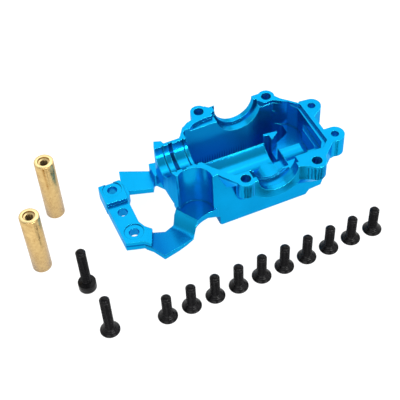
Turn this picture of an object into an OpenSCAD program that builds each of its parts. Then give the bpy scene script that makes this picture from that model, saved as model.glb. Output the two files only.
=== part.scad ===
/* [Case body] */
// Height of the split plane, which both shaft axes lie in, above the base
case_h = 24; // [22:0.5:30]
// From the cross shaft axis to the left end of the tub
tub_left = 16.1; // [15:0.1:20]
// From the cross shaft axis to the right end of the tub
tub_right = 20.4; // [20:0.1:25]
// From the pinion axis to the outer front wall
tub_front = 12.2; // [12:0.1:15]
// From the pinion axis to the outer back wall
tub_back = 11.5; // [11.2:0.1:14]
// Thickness of the floor under the gear pocket
floor_t = 3.6; // [2.5:0.1:5]
// Rise of the stepped base at the right end
heel_rise = 1.8; // [1:0.1:2.5]
// Length of the stepped base at the right end
heel_len = 6.4; // [4:0.1:8]

/* [Rim] */
// Depth of the locating step inside the band
step_drop = 1.2; // [0.8:0.1:1.6]
// Width of the locating step
step_w = 1.3; // [0.8:0.1:1.5]

/* [Gear pocket] */
// Inner back wall of the pocket, from the pinion axis
pocket_back = 9; // [8.5:0.1:9.5]
// Front edge of the deep slot, from the pinion axis
slot_front = 3.6; // [3.2:0.1:4.2]
// Inner front wall of the wide cavity, from the pinion axis
cavity_front = 15.4; // [15:0.1:16]
// Left end of the pocket, from the cross shaft axis
pocket_left = 19.2; // [19:0.1:19.4]
// Inner right wall, from the cross shaft axis
pocket_right = 18; // [17:0.1:18.4]

/* [Shaft bearings] */
// Outer diameter of the cross shaft bearings
cross_bearing_d = 15; // [14:0.5:16]
// Width of a cross shaft bearing seat
cross_seat_w = 3; // [2.5:0.1:3.2]
// Height of the lip outside a cross shaft seat
cross_lip_h = 0.9; // [0.7:0.05:1.5]
// Width of that lip
cross_lip_w = 1.7; // [1.2:0.1:2]
// Outer diameter of the pinion bearings
pinion_bearing_d = 11; // [10:0.5:11.5]

/* [Fasteners] */
// Clearance hole for the screws that close the case
screw_hole_d = 3.2; // [3.1:0.1:3.4]
// Tapping hole for an M3 thread
tap_d = 2.5; // [2.4:0.05:2.6]
// Thread diameter of every screw
thread_d = 3; // [2.5:0.1:3]
// Length of a short countersunk screw over all
short_screw_l = 10; // [6:1:16]
// Length of the long countersunk screw over all
long_flat_l = 16; // [12:1:20]
// Length under the head of the cap screw
cap_screw_l = 15; // [12:1:20]
// Head diameter of the countersunk screws
flat_head_d = 6; // [5.4:0.1:6.2]
// Head diameter of the cap screw
cap_head_d = 5.5; // [5.4:0.1:5.8]
// Hexagon key of the countersunk screws
flat_key = 2; // [1.5:0.1:2]
// Hexagon key of the cap screw
cap_key = 2.5; // [2:0.1:2.5]
// Diameter of the brass posts
post_d = 6; // [5:0.1:6]
// Length of the brass posts
post_l = 24; // [18:1:30]

/* [Bracket] */
// Thickness of the mounting bracket
bracket_t = 3.6; // [3:0.1:4]
// Height of the underside of bracket and arms above the base
bracket_z = 4.15; // [3.5:0.05:5]
// Spacing of the two post holes
post_hole_pitch = 17.6; // [17:0.1:18]

/* [Hidden] */
$fn = 48;

// The pinion axis is y = 0 and the cross shaft axis is x = 0, both at z = case_h. The base is z = 0.
neck_left = 29.8;            // left face of the pinion neck, from the cross shaft
neck_back = 6.6;             // back flat of the neck, from the pinion axis
neck_end = [[-27.9, -7.3], [-28.6, -5.5], [-29.3, -3.4], [-neck_left, -0.5], [-neck_left, 4], [-29.6, 6.5],
            [-28.8, 8.6], [-26.6, 7.8], [-26.3, neck_back]];    // left end of the neck in plan
trough_right = 18.9;         // right end of the trough, from the cross shaft
groove_w = 0.45;             // oil groove beside a pinion bearing
clip_groove_w = 1.25;        // groove of the retaining ring between the bearings
clip_groove_x = 25.15;       // its left side, from the cross shaft
layshaft_y = -8.6;           // axis of the half bore in front of the gear slot
layshaft_r = 6;
layshaft_right = 2.7;        // right end of that half bore, from the cross shaft
finger_r = 5.6;              // finger cut beside the neck
finger_at = [-23.7, -11.7];
finger_z = 8.8;
collar_wall = 2.3;           // metal around a cross shaft seat
cross_lip_d = cross_bearing_d - 2 * cross_lip_h;    // opening in that lip
collar_r = cross_bearing_d / 2 + collar_wall;
cross_front_y = -19.5;       // outer plane of the front collar
cross_back_y = 13.7;         // outer plane of the back collar
flange_t = 6;                // depth of the rim that overhangs the tub
end_wall = 1.6;               // wall left of the deep slot, and the floor left of it
shelf_z = 17.8;              // floor of the wide cavity
ear_r = 3;                   // ears on the front
ear_back_r = 2.7;            // ears on the back
ear_t = 5.6;                 // straight depth of an ear
lug_r = 3;
lug_t = 7;
blind_hole_l = 5.2;          // depth of the cover screw holes in the ears
ear_a = [-11.2, 14.5];
ear_b = [10.8, 11.6];
ear_e = [12.6, -19.6];
ear_f = [-9.6, -17.1];
lug_c = [tub_right + 1.4, 1.7];
lug_d = [tub_right + 2.2, -12.2];
arm_t = 1.9;
arm_turn = 32;               // direction of the front arm in plan
arm_foot = [-26.8, -11.5];   // where the front arm meets the floor of the finger cut
scoop_r = 5.9;               // curve of the front arm up to that floor
scoop_l = 4.4;
post_seat_l = 0.35;          // depth of a post's spot face
bracket_left = 47.8;         // outer edge of the bracket, from the cross shaft
bracket_right = 40.7;        // inner edge of the bracket, from the cross shaft
bracket_y = -0.65;           // middle of the bracket
bracket_half = 12;
block_rise = 1.4;            // extra height of the bracket block at the back post hole
root_z = 9.3;                // top of the root of the back arm
bracket_top = bracket_z + bracket_t;
post_holes = [[-44, bracket_y + post_hole_pitch / 2 + 0.4], [-43.4, bracket_y - post_hole_pitch / 2 + 0.4]];
middle_hole = [-43.9, bracket_y + 0.2];
short_screw_n = 10;
cap_head_h = 3;
head_edge = 0.3;              // cylindrical edge of a countersunk head
tip_l = 0.3;                  // chamfer at a screw tip
mouth_l = 0.45;               // countersink at the ends of a post

// A slab with rounded corners, from its outline
module plate(points, z0, z1, r) {
    translate([0, 0, z0]) linear_extrude(z1 - z0)
        offset(r = r, $fn = 24) offset(delta = -r) polygon(points);
}

// A cylinder along the pinion axis, from x0 to x1
module along_x(r, x0, x1, y = 0, z = case_h) {
    translate([x0, y, z]) rotate([0, 90, 0]) cylinder(r = r, h = x1 - x0);
}

// A cylinder along the cross shaft axis, from y0 to y1
module along_y(r, y0, y1, x = 0, z = case_h) {
    translate([x, y0, z]) rotate([-90, 0, 0]) cylinder(r = r, h = y1 - y0);
}

// An ear for a cover screw, tapering down to the wall that carries it
module ear(at, foot, foot_z, r) {
    hull() {
        translate([at.x, at.y, case_h - ear_t]) cylinder(r = r, h = ear_t, $fn = 32);
        translate([foot.x, foot.y, foot_z]) cylinder(r = 1.2, h = 1, $fn = 32);
    }
}

module lug(at, root) {
    translate([at.x, at.y, case_h - lug_t]) cylinder(r = lug_r, h = lug_t);
    translate([0, 0, case_h - lug_t]) linear_extrude(lug_t)
        polygon(concat([at + [0.3, lug_r - 0.02]], root, [at + [2, -2.2]]));
}

module tub() {
    plate([[-tub_left, -tub_front], [tub_right, -tub_front], [tub_right, 3.8], [tub_right - 2, 4.4],
           [tub_right - 6.4, 8.9], [tub_right - 7.6, tub_back], [-tub_left, tub_back]], 0, case_h, 0.8);
}

module rim() {
    translate([0, 0, case_h - flange_t]) linear_extrude(flange_t)
        polygon(concat(neck_end, [[-21.2, neck_back], [-19.6, 8.2], [-18.3, 10.3],
                 [-16.5, 11.6], [-14.4, 12.2], [-13.8, 14.6], [-8.6, 15.9], [-7.6, 14.9], [-5.8, 15],
                 [-5.8, 13.7],
                 [6.4, 13.7], [8.4, 13.3], [13.3, 10.7], [14.4, 8.9], [16.5, 6.8], [18.6, 4.6],
                 [tub_right - 0.4, 4.3], [tub_right - 0.4, -15.3], [16, -19], [13.5, -22.4],
                 [7.7, -19.9], [6.8, cross_front_y], [-7, cross_front_y], [-7, -tub_front],
                 [-16.4, -tub_front]]));
    // front left of the rim, flaring out of the wall to the ear
    hull() {
        translate([0, 0, case_h - 1.2]) linear_extrude(1.2)
            polygon([[-16.4, -tub_front], [-15.3, -13.8], [-14, -14.6], [-13.1, -16], [-12.4, -17.8],
                     [-7.3, -18], [-6.8, -tub_front]]);
        translate([0, 0, 17]) linear_extrude(1)
            polygon([[-13.8, -tub_front], [-6.8, -tub_front], [-6.8, -11], [-13.8, -11]]);
    }
}

// The neck round the pinion bearings; its left face leans back towards the foot
module neck() {
    intersection() {
        translate([0, 10, 0]) rotate([90, 0, 0]) linear_extrude(20)
            polygon([[-neck_left - 1, case_h], [-neck_left - 1, 15], [-28.8, 10], [-27, 6],
                     [-26.4, bracket_z], [-14, bracket_z], [-14, case_h]]);
        translate([0, 0, bracket_z]) linear_extrude(case_h - bracket_z)
            polygon(concat(neck_end, [[-14, neck_back], [-14, -7.3]]));
    }
    plate([[-21, -5], [-21, neck_back], [-18.5, 10.4], [-14.4, tub_back], [-10, tub_back], [-10, -5]],
          bracket_z, case_h, 0.5);
    // shoulder between neck and tub, which the finger cut hollows out
    translate([0, 0, bracket_z]) linear_extrude(case_h - bracket_z)
        polygon([[-27.5, -6.9], [-24, -tub_front], [-10, -tub_front], [-10, -2], [-27.5, -2]]);
}

module collars() {
    along_y(collar_r, cross_front_y, -10);
    along_y(collar_r, 8, cross_back_y);
}

// The two arms between bracket and neck
module arms() {
    difference() {
        union() {
            // back arm and its root beside the neck
            plate([[-bracket_right - 1, 5], [-38.8, 17.5], [-29.8, 13.4], [-16, 11], [-16, 3]],
                  bracket_z, bracket_z + arm_t, 0.3);
            plate([[-neck_left, 4], [-neck_left, 13.6], [-24, 12.6], [-16, 11],
                   [-16, 3]], bracket_z, root_z, 0.3);
            // front arm, rising in a curve to the floor of the finger cut
            difference() {
                plate([[-bracket_right - 1, -8], [-bracket_right - 1, -14.4], [-40, -16.3], [-37.9, -20.3],
                       [-27.5, -17.9], [-25.5, -15], [-24, -14], [-22.4, -13.3], [-20.5, -12.8],
                       [-18.7, -12.7],
                       [-16.9, -12.3], [-15.5, -11.5], [-15.5, -3], [-28, -3]], bracket_z, finger_z, 0.2);
                translate([arm_foot.x, arm_foot.y, bracket_z + arm_t]) rotate([0, 0, arm_turn]) {
                    translate([-scoop_l, 20, scoop_r]) rotate([90, 0, 0]) cylinder(r = scoop_r, h = 40);
                    translate([-40 - scoop_l, -20, 0]) cube([40, 40, 20]);
                }
            }
        }
        // opening between bracket and neck
        plate([[-bracket_right, -9.5], [-38.2, -10.5], [-34.4, -11.9], [-31.2, -10.6], [-29.8, -8],
               [-27.6, -6.1],
               [-26.4, -3.8], [-26.4, -1], [-27.2, 2.2], [-27.6, 5.4], [-29.8, 8.6], [-31.3, 5.9],
               [-39.4, 8.4], [-bracket_right, 6]],
              0, case_h, 0.6);
    }
}

// The plate that carries the posts, higher at the back post
module bracket() {
    plate([[-bracket_left, bracket_y + bracket_half], [-47.3, bracket_y - bracket_half + 0.4],
           [-44.5, -13.1],
           [-42, -13.8], [-40.2, -15.8], [-37.9, -10.4], [-39.7, -8.4], [-bracket_right, -6],
           [-bracket_right, 3.2],
           [-39.2, 5.9], [-39.4, 9], [-40.6, bracket_y + bracket_half + 0.3]], bracket_z, bracket_top, 0.3);
    plate([[-bracket_left, bracket_y + bracket_half], [-bracket_left, 3.6], [-bracket_right, 3.2],
           [-40.4, bracket_y + bracket_half]], bracket_z, bracket_top + block_rise, 0.5);
}

// Half bores for the pinion bearings, with oil grooves and a retaining ring groove
module trough_cuts() {
    along_x(pinion_bearing_d / 2, -neck_left - 1, -trough_right);
    along_x(pinion_bearing_d / 2 + 0.4, -27.3, -27.3 + groove_w);
    along_x(pinion_bearing_d / 2 + 0.4, -clip_groove_x, -clip_groove_x + clip_groove_w);
    along_x(pinion_bearing_d / 2 + 0.4, -20.6, -20.6 + groove_w);
}

// Half bores for the cross shaft bearings, each with a narrower lip outside
module cross_cuts() {
    along_y(cross_lip_d / 2, cross_front_y - 1, -14.5);
    along_y(layshaft_r, cross_front_y - 1, layshaft_y);
    along_y(cross_bearing_d / 2, cross_front_y + cross_lip_w, cross_front_y + cross_lip_w + cross_seat_w);
    along_y(cross_lip_d / 2, pocket_back - 0.5, cross_back_y + 1);
    along_y(cross_bearing_d / 2, pocket_back - 0.5, cross_back_y - cross_lip_w);
}

// The gear slot, the layshaft bore and the wide cavity
module pocket_cuts() {
    // slot of the large gear, shallower where it runs over the foot of the neck
    plate([[-pocket_left, -slot_front], [0, -slot_front], [0, pocket_back], [-pocket_left, pocket_back]],
          bracket_z + end_wall, case_h + 1, 1.5);
    // deep part of the slot, narrower beyond the small gear
    plate([[end_wall - tub_left, -slot_front], [4, -slot_front], [4.6, 0.9], [9, 0.4], [14.5, 3],
           [14.5, pocket_back - 2], [12, pocket_back],
           [end_wall - tub_left, pocket_back]], floor_t, case_h + 1, 1.5);
    // wide cavity, its floor lower beside the right wall
    plate([[layshaft_right, -cavity_front], [pocket_right - 2, -cavity_front], [pocket_right, -12.5],
           [pocket_right, 3.4], [16, 6.6], [12, pocket_back], [layshaft_right, pocket_back]],
          shelf_z + 1.6, case_h + 1, 0.8);
    plate([[13.6, -11.2], [16.8, -11.2], [16.8, -2.4], [pocket_right, -0.6], [pocket_right, 3.4], [16, 6.6],
           [12, pocket_back], [9.4, 3], [9, -0.2], [5.8, -2.5], [5.8, -6.4],
           [13.6, -6.4]], shelf_z - 4, case_h, 0.8);
    // half bore of the layshaft's right bearing
    along_x(layshaft_r, 6.4, 13.9, layshaft_y);
    // gap that clears the small gear
    plate([[layshaft_right, -9.7], [6.2, -9.7], [6.2, 0], [layshaft_right, 0]], floor_t + 4, case_h, 0.5);
    plate([[layshaft_right, -14], [6.2, -14], [6.2, 0], [layshaft_right, 0]], shelf_z - 0.4, case_h, 0.5);
    // layshaft half bore, kept off the slanted front wall
    intersection() {
        along_x(layshaft_r, -20, layshaft_right + 0.5, layshaft_y);
        plate([[-19.4, -4.6], [-16.8, -8.8], [-13, -13.4], [-11.4, -15], [4, -15], [4, 0], [-19.4, 0]],
              0, case_h + 1, 0.4);
    }
    // locating step inside the sealing band
    plate([[-19.4, 5.6], [-17.3, 8.4], [-15, 10.3], [-11.5, 11], [-7.9, 11.2], [-7.9, 12.6], [-6, 12.6],
           [-6, 8], [-19.4, 0]], case_h - step_drop, case_h + 1, 0.3);
    plate([[6, 8], [7.6, 11.2], [9, 9.2], [12, 9.2], [15.6, 6.7], [pocket_right + step_w - 0.4, 3.8],
           [pocket_right + step_w, -13.4], [16.8, -15.8], [13, -15.4], [6, 0]],
          case_h - step_drop, case_h + 1, 0.3);
}

module gear_case_half() {
    color("deepskyblue")
    difference() {
        intersection() {
            union() {
                tub(); rim(); neck(); arms(); bracket(); collars();
                ear(ear_a, [-10.5, 10.5], 10, ear_back_r);
                ear(ear_b, [10.5, 9.5], 10, ear_back_r);
                ear(ear_e, [11.4, -10.6], 6, ear_r);
                ear(ear_f, [-8.4, -10.5], 8, ear_r);
                lug(lug_c, [[tub_right - 1.4, 5], [tub_right - 1.4, -4]]);
                lug(lug_d, [[tub_right - 2.4, -9], [tub_right - 2.4, -15.5]]);
            }
            translate([-60, -30, 0]) cube([100, 60, case_h]);
        }
        // stepped base and chamfered foot at the right end
        translate([0, 40, 0]) rotate([90, 0, 0]) linear_extrude(80)
            polygon([[tub_right - heel_len - 0.3, -1], [tub_right - heel_len - 0.3, 0],
                     [tub_right - heel_len + 0.9, heel_rise], [tub_right - 1.4, heel_rise + 0.4],
                     [tub_right, 7.3], [tub_right + 9, 7.3], [tub_right + 9, -1]]);
        // finger cut beside the neck
        translate([finger_at.x, finger_at.y, finger_z]) cylinder(r = finger_r, h = case_h);
        // scoop under the front arm
        translate([0, -8, 0]) rotate([90, 0, 0]) linear_extrude(12)
            polygon([[-33, 0], [-33, bracket_z], [-30, 4.6], [-27.5, 5.5], [-25, 6.7], [-20.5, 6.4],
                     [-18.7, 5.7], [-17.2, 4.8], [-tub_left - 0.1, bracket_z], [-tub_left - 0.1, 0]]);
        // bracket holes, with spot faces for the posts
        for (p = [post_holes[0], post_holes[1], middle_hole])
            translate([p.x, p.y, 0]) cylinder(d = screw_hole_d, h = case_h);
        translate([post_holes[0].x, post_holes[0].y, bracket_top + block_rise - post_seat_l])
            cylinder(d = post_d + 0.2, h = 5);
        translate([post_holes[1].x, post_holes[1].y, bracket_top - post_seat_l])
            cylinder(d = post_d + 0.2, h = 5);
        trough_cuts();
        cross_cuts();
        pocket_cuts();
        for (p = [ear_a, ear_b, ear_e, ear_f])
            translate([p.x, p.y, case_h - blind_hole_l]) cylinder(d = screw_hole_d, h = case_h);
        for (p = [lug_c, lug_d])
            translate([p.x, p.y, 0]) cylinder(d = tap_d, h = case_h + 1);
    }
}

// A six-sided key socket, opening downwards
module key_socket(key, depth) {
    translate([0, 0, -1]) cylinder(d = key / cos(30), h = depth + 1, $fn = 6);
}

// A screw shank with a chamfered tip
module shank(z0, z1) {
    translate([0, 0, z0]) cylinder(d = thread_d, h = z1 - z0 - tip_l);
    translate([0, 0, z1 - tip_l]) cylinder(d1 = thread_d, d2 = thread_d - 2 * tip_l, h = tip_l);
}

// A countersunk screw standing on its head
module flat_screw(l) {
    cone_l = (flat_head_d - thread_d) / 2;
    difference() {
        union() {
            cylinder(d = flat_head_d, h = head_edge);
            translate([0, 0, head_edge]) cylinder(d1 = flat_head_d, d2 = thread_d, h = cone_l);
            shank(head_edge + cone_l, l);
        }
        key_socket(flat_key, 1.2);
    }
}

// A cap screw standing on its head
module cap_screw() {
    difference() {
        union() {
            cylinder(d1 = cap_head_d - 0.5, d2 = cap_head_d, h = 0.25);
            translate([0, 0, 0.25]) cylinder(d = cap_head_d, h = cap_head_h - 0.25);
            shank(cap_head_h, cap_head_h + cap_screw_l);
        }
        key_socket(cap_key, 1.6);
    }
}

// A spacer post, tapped right through
module post() {
    difference() {
        cylinder(d = post_d, h = post_l);
        translate([0, 0, -1]) cylinder(d = tap_d, h = post_l + 2);
        translate([0, 0, -0.01]) cylinder(d1 = thread_d + 0.4, d2 = tap_d, h = mouth_l);
        translate([0, 0, post_l - mouth_l + 0.01]) cylinder(d1 = tap_d, d2 = thread_d + 0.4, h = mouth_l);
    }
}

module post_back() {
    color("goldenrod") translate([-61.9, 15.3, 0]) post();
}

module post_front() {
    color("goldenrod") translate([-72.1, -3.3, 0]) post();
}

module post_screw_cap() {
    color("dimgray") translate([-62, -17, 0]) cap_screw();
}

module post_screw_flat() {
    color("dimgray") translate([-61, -34, 0]) flat_screw(long_flat_l);
}

// Place i of the row of cover screws
module cover_screw(i) {
    color("dimgray") translate([-44 + 7.75 * (i - 1), -36.7 + 0.35 * (i - 1), 0]) flat_screw(short_screw_l);
}
module cover_screw_1() { cover_screw(1); }
module cover_screw_2() { cover_screw(2); }
module cover_screw_3() { cover_screw(3); }
module cover_screw_4() { cover_screw(4); }
module cover_screw_5() { cover_screw(5); }
module cover_screw_6() { cover_screw(6); }
module cover_screw_7() { cover_screw(7); }
module cover_screw_8() { cover_screw(8); }
module cover_screw_9() { cover_screw(9); }
module cover_screw_10() { cover_screw(10); }

gear_case_half();
post_back();
post_front();
post_screw_cap();
post_screw_flat();
cover_screw_1();
cover_screw_2();
cover_screw_3();
cover_screw_4();
cover_screw_5();
cover_screw_6();
cover_screw_7();
cover_screw_8();
cover_screw_9();
cover_screw_10();
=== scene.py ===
"""Looks of the gear case half and its loose hardware: detailed screws and posts, procedural metals, a pale studio."""
import math

import bpy
from mathutils import Matrix, Vector


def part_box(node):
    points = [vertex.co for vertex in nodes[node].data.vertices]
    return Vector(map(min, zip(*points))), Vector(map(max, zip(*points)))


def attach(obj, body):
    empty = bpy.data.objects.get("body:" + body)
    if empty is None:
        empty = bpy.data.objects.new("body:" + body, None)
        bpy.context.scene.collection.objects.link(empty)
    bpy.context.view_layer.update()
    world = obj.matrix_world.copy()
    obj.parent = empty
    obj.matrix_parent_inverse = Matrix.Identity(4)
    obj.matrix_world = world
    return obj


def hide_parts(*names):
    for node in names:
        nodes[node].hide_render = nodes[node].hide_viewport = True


MM = 0.001
SEGMENTS = 48               # round a screw or post
ROWS_PER_TURN = 8           # rings of points in one turn of thread
SHARP_EDGE = math.radians(35)

# sizes, in mm
M3 = 3.0
THREAD_PITCH = 0.5
THREAD_DEPTH = 0.28
TIP = 0.9                   # rounded tip of a screw
COVER_SCREW = 10.0          # length over all, as are the next two
POST_SCREW_FLAT = 16.0
POST_SCREW_CAP = 18.0
POST_LENGTH = 24.0
CASE_HEIGHT = 24.0          # the pinion's axis lies at this height

# places on the case where its colour changes, in mm; the case's own origin is on its base, under the crossing of the
# pinion's and the cross shaft's axes
RIGHT_EAR = {"X": (9.0, 15.4), "Z": (18.2, 22.9)}
LEFT_EAR = {"X": (-11.6, -8.0), "Z": (18.0, 22.7)}
SLOT_FOOT = {"X": (-18.0, 1.0), "Z": (3.6, 7.2)}
BACK_WALL = {"X": (-19.0, 3.0), "Y": (8.9, 9.1)}
RIM_FLARE = {"X": (-16.4, -12.7), "Y": (-17.6, -12.5), "Z": (17.4, 23.0)}
RING_GROOVE_X = (-25.15, -23.9)
RING_GROOVE_RADIUS = (5.7, 6.1)
TUB_LEFT_X = (-16.3, -15.9)
ARM_TOP_Z = (5.8, 6.3)

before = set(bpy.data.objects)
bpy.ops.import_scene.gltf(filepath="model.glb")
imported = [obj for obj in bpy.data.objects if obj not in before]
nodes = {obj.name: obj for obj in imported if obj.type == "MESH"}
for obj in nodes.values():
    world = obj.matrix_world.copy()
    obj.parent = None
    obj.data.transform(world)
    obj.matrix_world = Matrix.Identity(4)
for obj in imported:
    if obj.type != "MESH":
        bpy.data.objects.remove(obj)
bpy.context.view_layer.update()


# ---------------------------------------------------------------- materials

class Nodes:
    """A short way to write a material's node tree."""

    def __init__(self, name):
        self.material = bpy.data.materials.new(name)
        self.material.use_nodes = True
        self.tree = self.material.node_tree
        self.tree.nodes.clear()

    def put(self, socket, value):
        """Give an input socket a value, or link another node's output socket to it."""
        if isinstance(value, bpy.types.NodeSocket):
            self.tree.links.new(value, socket)
        else:
            socket.default_value = value

    def add(self, kind, settings=None, **inputs):
        """A node with its settings and inputs; i0, i1 and so on are inputs by number, the others by name."""
        node = self.tree.nodes.new(kind)
        for key, value in (settings or {}).items():
            setattr(node, key, value)
        for key, value in inputs.items():
            numbered = key[0] == "i" and key[1:].isdigit()
            self.put(node.inputs[int(key[1:])] if numbered else node.inputs[key], value)
        return node

    def math(self, operation, a, b=0.0, clamp=False):
        return self.add("ShaderNodeMath", {"operation": operation, "use_clamp": clamp}, i0=a, i1=b).outputs[0]

    def times(self, first, *others):
        """The product of two or more values."""
        for other in others:
            first = self.math("MULTIPLY", first, other)
        return first

    def remap(self, value, low, high, to_low, to_high):
        return self.add("ShaderNodeMapRange", i0=value, i1=low, i2=high, i3=to_low, i4=to_high).outputs[0]

    def ramp(self, value, low, high):
        """0 at low, 1 at high, and no further on either side."""
        return self.remap(value, low, high, 0.0, 1.0)

    def ramp_mm(self, value, low, high):
        return self.ramp(value, low * MM, high * MM)

    def between(self, value, bounds, soft=0.4):
        """1 inside two bounds in mm, fading to 0 over a soft edge in mm."""
        low, high = bounds
        return self.times(self.ramp_mm(value, low - soft, low), self.ramp_mm(value, high + soft, high))

    def noise(self, vector, scale, detail=3.0, roughness=0.5):
        node = self.add("ShaderNodeTexNoise", Vector=vector, Scale=scale, Detail=detail, Roughness=roughness)
        return node.outputs["Fac"]

    def stretched_noise(self, vector, scale, roughness):
        """Noise drawn out into lines: scale is three numbers, small along the lines."""
        mapping = self.add("ShaderNodeMapping", Vector=vector, Scale=scale)
        return self.noise(mapping.outputs[0], 1.0, 2.0, roughness)

    def openness(self, distance, samples):
        """1 out in the open, near 0 deep between walls nearer than the distance in mm."""
        node = self.add("ShaderNodeAmbientOcclusion", {"samples": samples, "only_local": True},
                        Distance=distance * MM)
        return node.outputs["AO"]

    def split(self, vector):
        return self.add("ShaderNodeSeparateXYZ", Vector=vector).outputs

    def mix(self, factor, a, b):
        node = self.add("ShaderNodeMix", {"data_type": "RGBA"})
        for index, value in ((0, factor), (6, a), (7, b)):
            self.put(node.inputs[index], value)
        return node.outputs[2]

    def finish(self, **inputs):
        """Close the tree with one principled shader."""
        shader = self.add("ShaderNodeBsdfPrincipled", **inputs)
        out = self.tree.nodes.new("ShaderNodeOutputMaterial")
        self.tree.links.new(shader.outputs[0], out.inputs["Surface"])
        return self.material


def rgb(r, g, b):
    return (r, g, b, 1.0)


# dyes of the case, and the painted shade, light and highlights laid over them, from the deepest to the palest
SHADE_PAINTED_IN_GROOVE = rgb(0.001, 0.04, 0.16)
SHADE_PAINTED_IN_MARKS = rgb(0.001, 0.05, 0.17)
SHADE_PAINTED_IN_CORNERS = rgb(0.001, 0.05, 0.20)
SHADE_PAINTED_ON_ARM = rgb(0.001, 0.10, 0.36)
SHADE_PAINTED_IN_POCKET = rgb(0.001, 0.20, 0.58)
DYE = rgb(0.002, 0.29, 0.60)
DYE_DRIFTED = rgb(0.003, 0.33, 0.67)
LIGHT_PAINTED_ON_BACK_WALL = rgb(0.004, 0.44, 0.86)
LIGHT_PAINTED_IN_HOLES = rgb(0.01, 0.46, 0.85)
LIGHT_PAINTED_ON_FLARE = rgb(0.004, 0.48, 0.92)
HIGHLIGHT_PAINTED_ON_EDGES = rgb(0.03, 0.72, 0.95)
CUTTER_STEP = 0.85          # between two cutter marks, in mm


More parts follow.
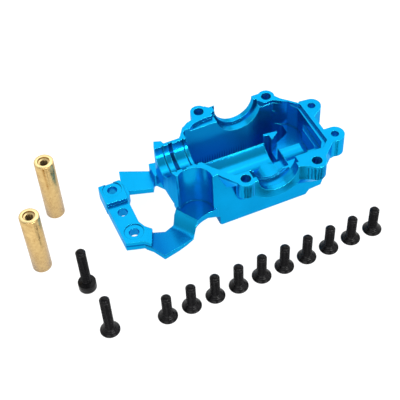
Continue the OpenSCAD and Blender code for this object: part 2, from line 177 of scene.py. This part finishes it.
def anodised():
    n = Nodes("anodised_blue")
    place = n.add("ShaderNodeTexCoord")
    at = place.outputs["Object"]
    x, y, z = n.split(at)
    face_x, face_y, face_z = n.split(place.outputs["Normal"])
    flat = n.ramp(n.math("ABSOLUTE", face_z), 0.7, 0.95)
    soft_edge = n.add("ShaderNodeBevel", {"samples": 6}, Radius=0.22 * MM).outputs[0]
    true_normal = n.add("ShaderNodeNewGeometry").outputs["Normal"]
    agree = n.add("ShaderNodeVectorMath", {"operation": "DOT_PRODUCT"}, i0=soft_edge, i1=true_normal)
    edge = n.ramp(agree.outputs["Value"], 0.99, 0.85)

    # the dye drifts slowly; painted shade darkens the pocket, and painted light makes the small holes paler again
    reach = n.openness(11, 12)
    outside = n.times(n.ramp(face_y, -0.8, -0.95), n.ramp_mm(y, -11.5, -12.1))
    open_air = n.math("MAXIMUM", n.ramp(reach, 0.25, 0.75), outside)
    drift = n.ramp(n.noise(at, 70.0, 4.0, 0.55), 0.35, 0.65)
    colour = n.mix(open_air, SHADE_PAINTED_IN_POCKET, n.mix(drift, DYE, DYE_DRIFTED))
    colour = n.mix(n.ramp(reach, 0.30, 0.15), colour, LIGHT_PAINTED_IN_HOLES)
    # painted reflection brightens the slot's back wall, painted shade darkens the retaining ring's groove
    back_wall = n.times(n.between(x, BACK_WALL["X"], 4.0), n.between(y, BACK_WALL["Y"], 0.1))
    colour = n.mix(n.times(back_wall, 0.9), colour, LIGHT_PAINTED_ON_BACK_WALL)
    drop = n.math("SUBTRACT", z, CASE_HEIGHT * MM)
    radius = n.math("SQRT", n.math("ADD", n.times(y, y), n.times(drop, drop)))
    groove = n.times(n.between(x, RING_GROOVE_X, 0.1), n.between(radius, RING_GROOVE_RADIUS, 0.1))
    colour = n.mix(groove, colour, SHADE_PAINTED_IN_GROOVE)
    # painted light on the flare under the front left of the rim, painted shade on the left face of the tub and on the
    # front arm
    flare = n.times(n.between(x, RIM_FLARE["X"], 0.2), n.between(y, RIM_FLARE["Y"], 0.2),
                    n.between(z, RIM_FLARE["Z"], 0.3))
    colour = n.mix(flare, colour, LIGHT_PAINTED_ON_FLARE)
    foot = n.times(n.ramp(face_x, -0.8, -0.95), n.between(x, TUB_LEFT_X, 0.1), n.ramp_mm(z, 4.4, 4.1))
    colour = n.mix(foot, colour, SHADE_PAINTED_IN_CORNERS)
    arm = n.times(n.between(z, ARM_TOP_Z, 0.2), n.ramp_mm(y, -8.0, -9.0),
                  n.remap(x, -38.0 * MM, -27.5 * MM, 0.85, 0.0))
    colour = n.mix(arm, colour, SHADE_PAINTED_ON_ARM)
    # painted highlight along the rounded edges
    colour = n.mix(n.times(edge, 0.75), colour, HIGHLIGHT_PAINTED_ON_EDGES)

    # rows of cutter marks, with painted shade in them: down the two front ears, and along the foot of the slot's back
    # wall
    wobble = n.times(n.noise(at, 450.0, 2.0), 4.0)
    wave = n.math("SINE", n.math("ADD", n.times(x, 2 * math.pi / (CUTTER_STEP * MM)), wobble))
    ears = n.math("ADD", n.times(n.between(x, RIGHT_EAR["X"]), n.between(z, RIGHT_EAR["Z"])),
                  n.times(n.between(x, LEFT_EAR["X"]), n.between(z, LEFT_EAR["Z"])))
    slot = n.times(n.between(x, SLOT_FOOT["X"], 2.0), n.between(z, SLOT_FOOT["Z"], 2.2), back_wall)
    area = n.times(n.math("ADD", n.times(ears, n.ramp_mm(y, -17.4, -17.9)), slot), n.math("SUBTRACT", 1.0, flat))
    marks = n.math("MULTIPLY", n.ramp(wave, -0.1, 0.8), area, clamp=True)
    colour = n.mix(n.times(marks, 0.72), colour, SHADE_PAINTED_IN_MARKS)
    # painted shade in narrow creases and corners
    crevice = n.ramp(n.openness(1.3, 10), 0.74, 0.45)
    colour = n.mix(n.times(crevice, 0.8), colour, SHADE_PAINTED_IN_CORNERS)

    # milling: lines down the walls, finer lines along the flats
    wall_lines = n.stretched_noise(at, (1500.0, 1500.0, 45.0), 0.6)
    flat_lines = n.stretched_noise(at, (120.0, 2600.0, 120.0), 0.6)
    lines = n.add("ShaderNodeMix", i0=flat, i2=wall_lines, i3=flat_lines).outputs[0]
    grain = n.noise(at, 9000.0, 2.0, 0.6)
    height = n.math("ADD", n.times(lines, 0.8), n.times(grain, 0.2))
    height = n.math("SUBTRACT", height, n.times(marks, 2.0))
    bump = n.add("ShaderNodeBump", Strength=0.06, Distance=0.05 * MM, Height=height, Normal=soft_edge)
    metal = n.math("SUBTRACT", n.remap(open_air, 0.0, 1.0, 0.75, 0.92),
                   n.times(n.math("MAXIMUM", back_wall, flare), 0.35))
    return n.finish(**{
        "Base Color": colour,
        "Metallic": metal,
        "Roughness": n.remap(n.noise(at, 260.0, 3.0, 0.6), 0.3, 0.7, 0.19, 0.27),
        "Normal": bump.outputs[0],
        "Specular IOR Level": 0.2,
        "Specular Tint": rgb(0.2, 0.65, 1.0),
    })


def brass():
    n = Nodes("turned_brass")
    place = n.add("ShaderNodeTexCoord")
    at = place.outputs["Object"]
    turning = n.stretched_noise(at, (60.0, 60.0, 5200.0), 0.5)
    mottle = n.noise(at, 520.0, 4.0, 0.65)
    colour = n.mix(n.ramp(mottle, 0.35, 0.68), rgb(0.54, 0.355, 0.14), rgb(0.74, 0.53, 0.23))
    # painted shade, speckled, where the side turns away from the eye
    slant = n.add("ShaderNodeLayerWeight", Blend=0.5).outputs["Facing"]
    speckle = n.remap(n.noise(at, 1500.0, 3.0, 0.7), 0.42, 0.62, 0.35, 1.0)
    edge_shade = n.times(n.ramp(slant, 0.35, 0.85), speckle)
    colour = n.mix(n.times(edge_shade, 0.8), colour, rgb(0.22, 0.12, 0.04))
    # painted light on the turned end faces, which face up; the tapped bore is dull
    up = n.split(place.outputs["Normal"])["Z"]
    colour = n.mix(n.ramp(up, 0.85, 0.98), colour, rgb(0.86, 0.68, 0.33))
    bore = n.remap(n.openness(2.5, 8), 0.80, 0.45, 0.0, 0.92)
    colour = n.mix(bore, colour, rgb(0.07, 0.045, 0.02))
    bump = n.add("ShaderNodeBump", Strength=0.12, Distance=0.05 * MM,
                 Height=n.math("ADD", turning, n.times(mottle, 0.6)))
    return n.finish(**{
        "Base Color": colour,
        "Metallic": 1.0,
        "Roughness": n.remap(mottle, 0.3, 0.7, 0.22, 0.40),
        "Normal": bump.outputs[0],
    })


def black_oxide():
    n = Nodes("black_oxide")
    at = n.add("ShaderNodeTexCoord").outputs["Object"]
    patch = n.noise(at, 700.0, 4.0, 0.6)
    bump = n.add("ShaderNodeBump", Strength=0.15, Distance=0.03 * MM, Height=n.noise(at, 7000.0, 2.0, 0.6))
    return n.finish(**{
        "Base Color": n.mix(n.ramp(patch, 0.3, 0.7), rgb(0.001, 0.001, 0.0012), rgb(0.005, 0.0048, 0.006)),
        "Roughness": n.remap(patch, 0.3, 0.7, 0.16, 0.30),
        "Normal": bump.outputs[0],
        "Specular IOR Level": 0.13,
    })


def pale_floor():
    n = Nodes("pale_floor")
    paper = n.noise(n.add("ShaderNodeTexCoord").outputs["Object"], 40.0, 2.0)
    return n.finish(**{
        "Base Color": n.mix(paper, rgb(0.20, 0.20, 0.20), rgb(0.22, 0.22, 0.22)),
        "Roughness": 0.9,
        "Emission Color": rgb(1.0, 1.0, 1.0),
        "Emission Strength": 0.92,
    })


# ---------------------------------------------------------------- round pieces
# A piece is a list of rings, each one a (radius, height) pair in mm.

def ring(radius, z):
    """A ring of points at one height; radius is a number or a function of the angle."""
    points = []
    for k in range(SEGMENTS):
        angle = 2 * math.pi * k / SEGMENTS
        r = radius(angle) if callable(radius) else radius
        points.append((r * math.cos(angle) * MM, r * math.sin(angle) * MM, z * MM))
    return points


def hexagon(key):
    """The radius of a hexagon of that width across its flats, as a function of the angle."""
    return lambda angle: key / 2 / math.cos((angle + math.pi / 6) % (math.pi / 3) - math.pi / 6)


def threaded(z0, z1, inside=False):
    """Rings of a helical M3 thread between two heights, fading out at both ends."""
    rows = int(math.ceil((z1 - z0) / THREAD_PITCH * ROWS_PER_TURN))
    rings = []
    for k in range(rows + 1):
        z = z0 + (z1 - z0) * k / rows
        fade = min(1.0, (z - z0) / THREAD_PITCH, (z1 - z) / THREAD_PITCH)

        def radius(angle, z=z, fade=fade):
            # the thread's profile is a flat crest, two slopes and a flat root
            phase = (z / THREAD_PITCH - angle / (2 * math.pi)) % 1.0
            ridge = min(1.0, max(0.0, 1.35 - abs(2 * phase - 1) * 1.7))
            if inside:
                return M3 / 2 - THREAD_DEPTH * (1 - (1 - ridge) * fade)
            return M3 / 2 - THREAD_DEPTH * (1 - ridge) * fade
        rings.append((radius, z))
    return rings


def lathe(name, rings, body, node, material, closed_tube=False):
    """A mesh from rings joined in order; the first and last rings are capped, or joined to each other in a tube."""
    low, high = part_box(node)
    base = Vector(((low.x + high.x) / 2, (low.y + high.y) / 2, low.z))
    verts = [p for r, z in rings for p in ring(r, z)]
    faces = []
    count = len(rings)
    for i in range(count if closed_tube else count - 1):
        a, b = i * SEGMENTS, (i + 1) % count * SEGMENTS
        for k in range(SEGMENTS):
            m = (k + 1) % SEGMENTS
            faces.append((a + k, a + m, b + m, b + k))
    if not closed_tube:
        faces.append(tuple(reversed(range(SEGMENTS))))
        faces.append(tuple(range((count - 1) * SEGMENTS, count * SEGMENTS)))
    mesh = bpy.data.meshes.new(name)
    mesh.from_pydata(verts, [], faces)
    mesh.update()
    mesh.materials.append(material)
    piece = bpy.data.objects.new(name, mesh)
    bpy.context.scene.collection.objects.link(piece)
    piece.location = base
    mesh.polygons.foreach_set("use_smooth", [True] * len(mesh.polygons))
    mesh.set_sharp_from_angle(angle=SHARP_EDGE)
    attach(piece, body)
    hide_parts(node)


def tip_rings(length):
    """The rounded tip of a screw of that length."""
    return [(1.34, length - 0.82), (1.22, length - 0.5), (1.02, length - 0.25), (0.75, length - 0.08),
            (0.3, length)]


def flat_screw_rings(length):
    """From the bottom of the key socket, out over the head and up the shank to the tip."""
    socket = [(hexagon(0.6), 1.45), (hexagon(2.0), 1.2), (hexagon(2.0), 0.12), (1.26, 0.0)]
    head = [(2.84, 0.0), (2.95, 0.05), (3.0, 0.14), (3.0, 0.28), (2.9, 0.40)]
    cone = [(2.42, 0.88), (2.30, 0.90), (2.26, 1.02), (2.04, 1.25), (1.92, 1.26), (1.88, 1.39), (1.66, 1.62)]
    neck = [(1.53, 1.72), (1.5, 1.78)]
    return socket + head + cone + neck + threaded(1.8, length - TIP) + tip_rings(length)


def cap_screw_rings(length):
    """As the flat screw, with two turned grooves round a tall head."""
    socket = [(hexagon(0.7), 1.9), (hexagon(2.5), 1.6), (hexagon(2.5), 0.15), (1.56, 0.0)]
    head = [(2.42, 0.0), (2.62, 0.06), (2.75, 0.26), (2.75, 0.95), (2.66, 1.03), (2.66, 1.12), (2.75, 1.2),
            (2.75, 1.95), (2.66, 2.03), (2.66, 2.12), (2.75, 2.2), (2.75, 2.82), (2.68, 2.95), (2.58, 3.0)]
    neck = [(1.72, 3.0), (1.54, 3.08), (1.5, 3.3)]
    return socket + head + neck + threaded(3.4, length - TIP) + tip_rings(length)


def post_rings(length):
    """Outside from the foot up, over the top and down the tapped bore."""
    outside = [(1.75, 0.0), (2.62, 0.0), (2.86, 0.10), (3.0, 0.34), (3.0, length / 2), (3.0, length - 0.28),
               (2.9, length - 0.1), (2.74, length), (1.9, length), (1.72, length - 0.5)]
    bore = list(reversed(threaded(0.3, length - 0.7, inside=True)))
    return outside + bore + [(1.5, 0.18)]


# ---------------------------------------------------------------- the pieces

case = nodes["gear_case_half"]
case.data.materials.clear()
case.data.materials.append(anodised())

gold, black = brass(), black_oxide()
for side in ("back", "front"):
    node = "post_" + side
    lathe(node + "_turned", post_rings(POST_LENGTH), node + "_loose", node, gold, closed_tube=True)

screws = {"post_screw_cap": cap_screw_rings(POST_SCREW_CAP), "post_screw_flat": flat_screw_rings(POST_SCREW_FLAT)}
for number in range(1, 11):
    screws[f"cover_screw_{number}"] = flat_screw_rings(COVER_SCREW)
for node, rings in screws.items():
    lathe(node + "_threaded", rings, node + "_loose", node, black)


# ---------------------------------------------------------------- studio, in metres and watts

CAMERA_PLACE = (-0.0874, -0.1855, 0.2353)
CAMERA_TARGET = (-0.018, 0.0, 0.0)
CAMERA_ROLL = math.radians(-3.62)
CASE_MIDDLE = (0, 0, 0.01)
ORIGIN = (0, 0, 0)


def look_from(obj, place, target, roll=0.0):
    way = Vector(target) - Vector(place)
    turn = way.to_track_quat("-Z", "Y").to_matrix() @ Matrix.Rotation(roll, 3, "Z")
    obj.matrix_world = Matrix.Translation(place) @ turn.to_4x4()


camera_data = bpy.data.cameras.new("camera")
camera_data.lens = 86.0
camera_data.sensor_width = 36.0
camera_data.clip_start = 0.01
camera = bpy.data.objects.new("camera", camera_data)
bpy.context.scene.collection.objects.link(camera)
look_from(camera, CAMERA_PLACE, CAMERA_TARGET, CAMERA_ROLL)
bpy.context.scene.camera = camera

bpy.ops.mesh.primitive_plane_add(size=4.0, location=ORIGIN)
floor = bpy.context.object
floor.name = "floor"
floor.data.materials.append(pale_floor())


def softbox(name, place, target, size, power):
    data = bpy.data.lights.new(name, "AREA")
    data.shape = "RECTANGLE"
    data.size, data.size_y = size
    data.energy = power
    light = bpy.data.objects.new(name, data)
    bpy.context.scene.collection.objects.link(light)
    look_from(light, place, target)


softbox("key", (0.12, 0.44, 0.56), ORIGIN, (0.80, 0.45), 1.0)
softbox("fill", (-0.45, -0.55, 0.45), ORIGIN, (0.5, 0.4), 1.6)
softbox("side", (0.55, -0.05, 0.35), CASE_MIDDLE, (0.25, 0.4), 1.0)
softbox("top_strip", (0.13, 0.10, 0.60), ORIGIN, (0.40, 0.30), 0.5)
softbox("front_strip", (0.12, -0.62, 0.20), CASE_MIDDLE, (0.40, 0.10), 2.2)

world = bpy.data.worlds.new("studio")
world.use_nodes = True
tree = world.node_tree
way = tree.nodes.new("ShaderNodeSeparateXYZ")
tree.links.new(tree.nodes.new("ShaderNodeTexCoord").outputs["Generated"], way.inputs[0])


def fade(axis, low, high, to_low, to_high):
    """A strength that changes from to_low to to_high between two values of a direction's axis."""
    node = tree.nodes.new("ShaderNodeMapRange")
    for socket, value in ((1, low), (2, high), (3, to_low), (4, to_high)):
        node.inputs[socket].default_value = value
    tree.links.new(way.outputs[axis], node.inputs[0])
    return node.outputs[0]


# bright low down and at the back, dimmer overhead and in front
both = tree.nodes.new("ShaderNodeMath")
both.operation = "MULTIPLY"
tree.links.new(fade("Z", 0.1, 0.95, 1.15, 0.60), both.inputs[0])
tree.links.new(fade("Y", -0.75, 0.25, 0.85, 1.0), both.inputs[1])
tree.links.new(both.outputs[0], tree.nodes["Background"].inputs["Strength"])
tree.nodes["Background"].inputs["Color"].default_value = rgb(1.0, 1.0, 1.0)
bpy.context.scene.world = world
bpy.context.scene.view_settings.view_transform = "Standard"
